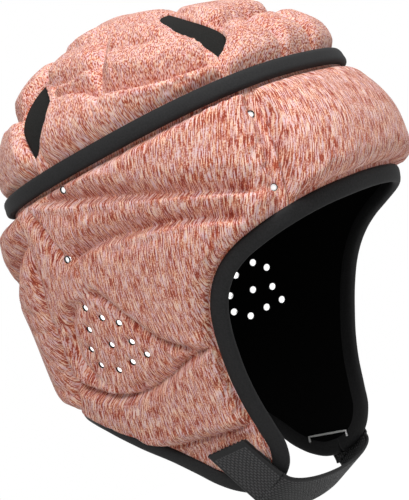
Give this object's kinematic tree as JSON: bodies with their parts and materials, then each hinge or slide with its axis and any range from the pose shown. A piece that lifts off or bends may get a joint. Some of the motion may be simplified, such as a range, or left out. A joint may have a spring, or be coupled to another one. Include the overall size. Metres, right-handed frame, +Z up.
{
  "type": "padded headgear",
  "caption": "Soft padded head guard with a quilted crown, ear leaves with breathing holes, bound edges and a fabric chin strap that closes with hook and loop.",
  "frame": {"origin": "middle of the head cavity, in the plane of the crown band", "axes": "+X to the wearer's left, +Y to the back, so the face opening faces -Y, +Z up"},
  "size_m": [0.1762, 0.2393, 0.283],
  "materials": {
    "melange_knit": "stretch knit, pale pink beige with brick red streaks",
    "black_lining_knit": "smooth fine knit, matt",
    "binding_tape": "folded tape, matt",
    "strap_webbing": "ribbed woven webbing",
    "hook_tape": "nylon hooks",
    "loop_tape": "brushed loops",
    "stitching_thread": "white thread"
  },
  "bodies": {
    "shell": {"back_lower_pad_left": "melange_knit", "back_lower_pad_right": "melange_knit", "back_upper_pad_left": "melange_knit", "back_upper_pad_right": "melange_knit", "bar_tack": "stitching_thread", "brow_lining": "black_lining_knit", "cheek_pad_left": "melange_knit", "cheek_pad_right": "melange_knit", "crown_back_pad_left": "melange_knit", "crown_back_pad_right": "melange_knit", "crown_band": "binding_tape", "crown_front_pad": "melange_knit", "crown_front_side_pad_left": "melange_knit", "crown_front_side_pad_right": "melange_knit", "crown_lining": "black_lining_knit", "crown_lower_pad_left": "melange_knit", "crown_lower_pad_right": "melange_knit", "crown_middle_front_pad_left": "melange_knit", "crown_middle_front_pad_right": "melange_knit", "crown_middle_rear_pad_left": "melange_knit", "crown_middle_rear_pad_right": "melange_knit", "crown_peak_pad": "melange_knit", "crown_rear_pad": "melange_knit", "crown_rear_side_pad_left": "melange_knit", "crown_rear_side_pad_right": "melange_knit", "crown_top_pad": "melange_knit", "crown_upper_front_pad_left": "melange_knit", "crown_upper_front_pad_right": "melange_knit", "crown_upper_rear_pad_left": "melange_knit", "crown_upper_rear_pad_right": "melange_knit", "ear_pad_left": "melange_knit", "ear_pad_right": "melange_knit", "face_binding": "binding_tape", "forehead_pad": "melange_knit", "jaw_pad_left": "melange_knit", "jaw_pad_right": "melange_knit", "loop_patch": "loop_tape", "mastoid_pad_left": "melange_knit", "mastoid_pad_right": "melange_knit", "nape_lining": "black_lining_knit", "neck_binding": "binding_tape", "rear_pad_left": "melange_knit", "rear_pad_right": "melange_knit", "side_lining_left": "black_lining_knit", "side_lining_right": "black_lining_knit", "strap_anchor": "strap_webbing", "tab_cover_left": "melange_knit", "tab_cover_right": "melange_knit", "temple_pad_left": "melange_knit", "temple_pad_right": "melange_knit", "upper_pad_left": "melange_knit", "upper_pad_right": "melange_knit"},
    "chin_strap": {"strap_webbing": "strap_webbing"},
    "strap_end": {"hook_patch": "hook_tape", "strap_tongue": "strap_webbing"}
  },
  "joints": [
    {"name": "strap_swing", "type": "hinge", "parent": "shell", "child": "chin_strap", "pos_m": [0.0421, 0.008, -0.1941], "axis": [0, -1, 0], "range_deg": [0, 90]},
    {"name": "strap_end_peel", "type": "hinge", "parent": "chin_strap", "child": "strap_end", "pos_m": [-0.0462, 0.008, -0.1935], "axis": [0, -1, 0], "range_deg": [0, 100]}
  ]
}
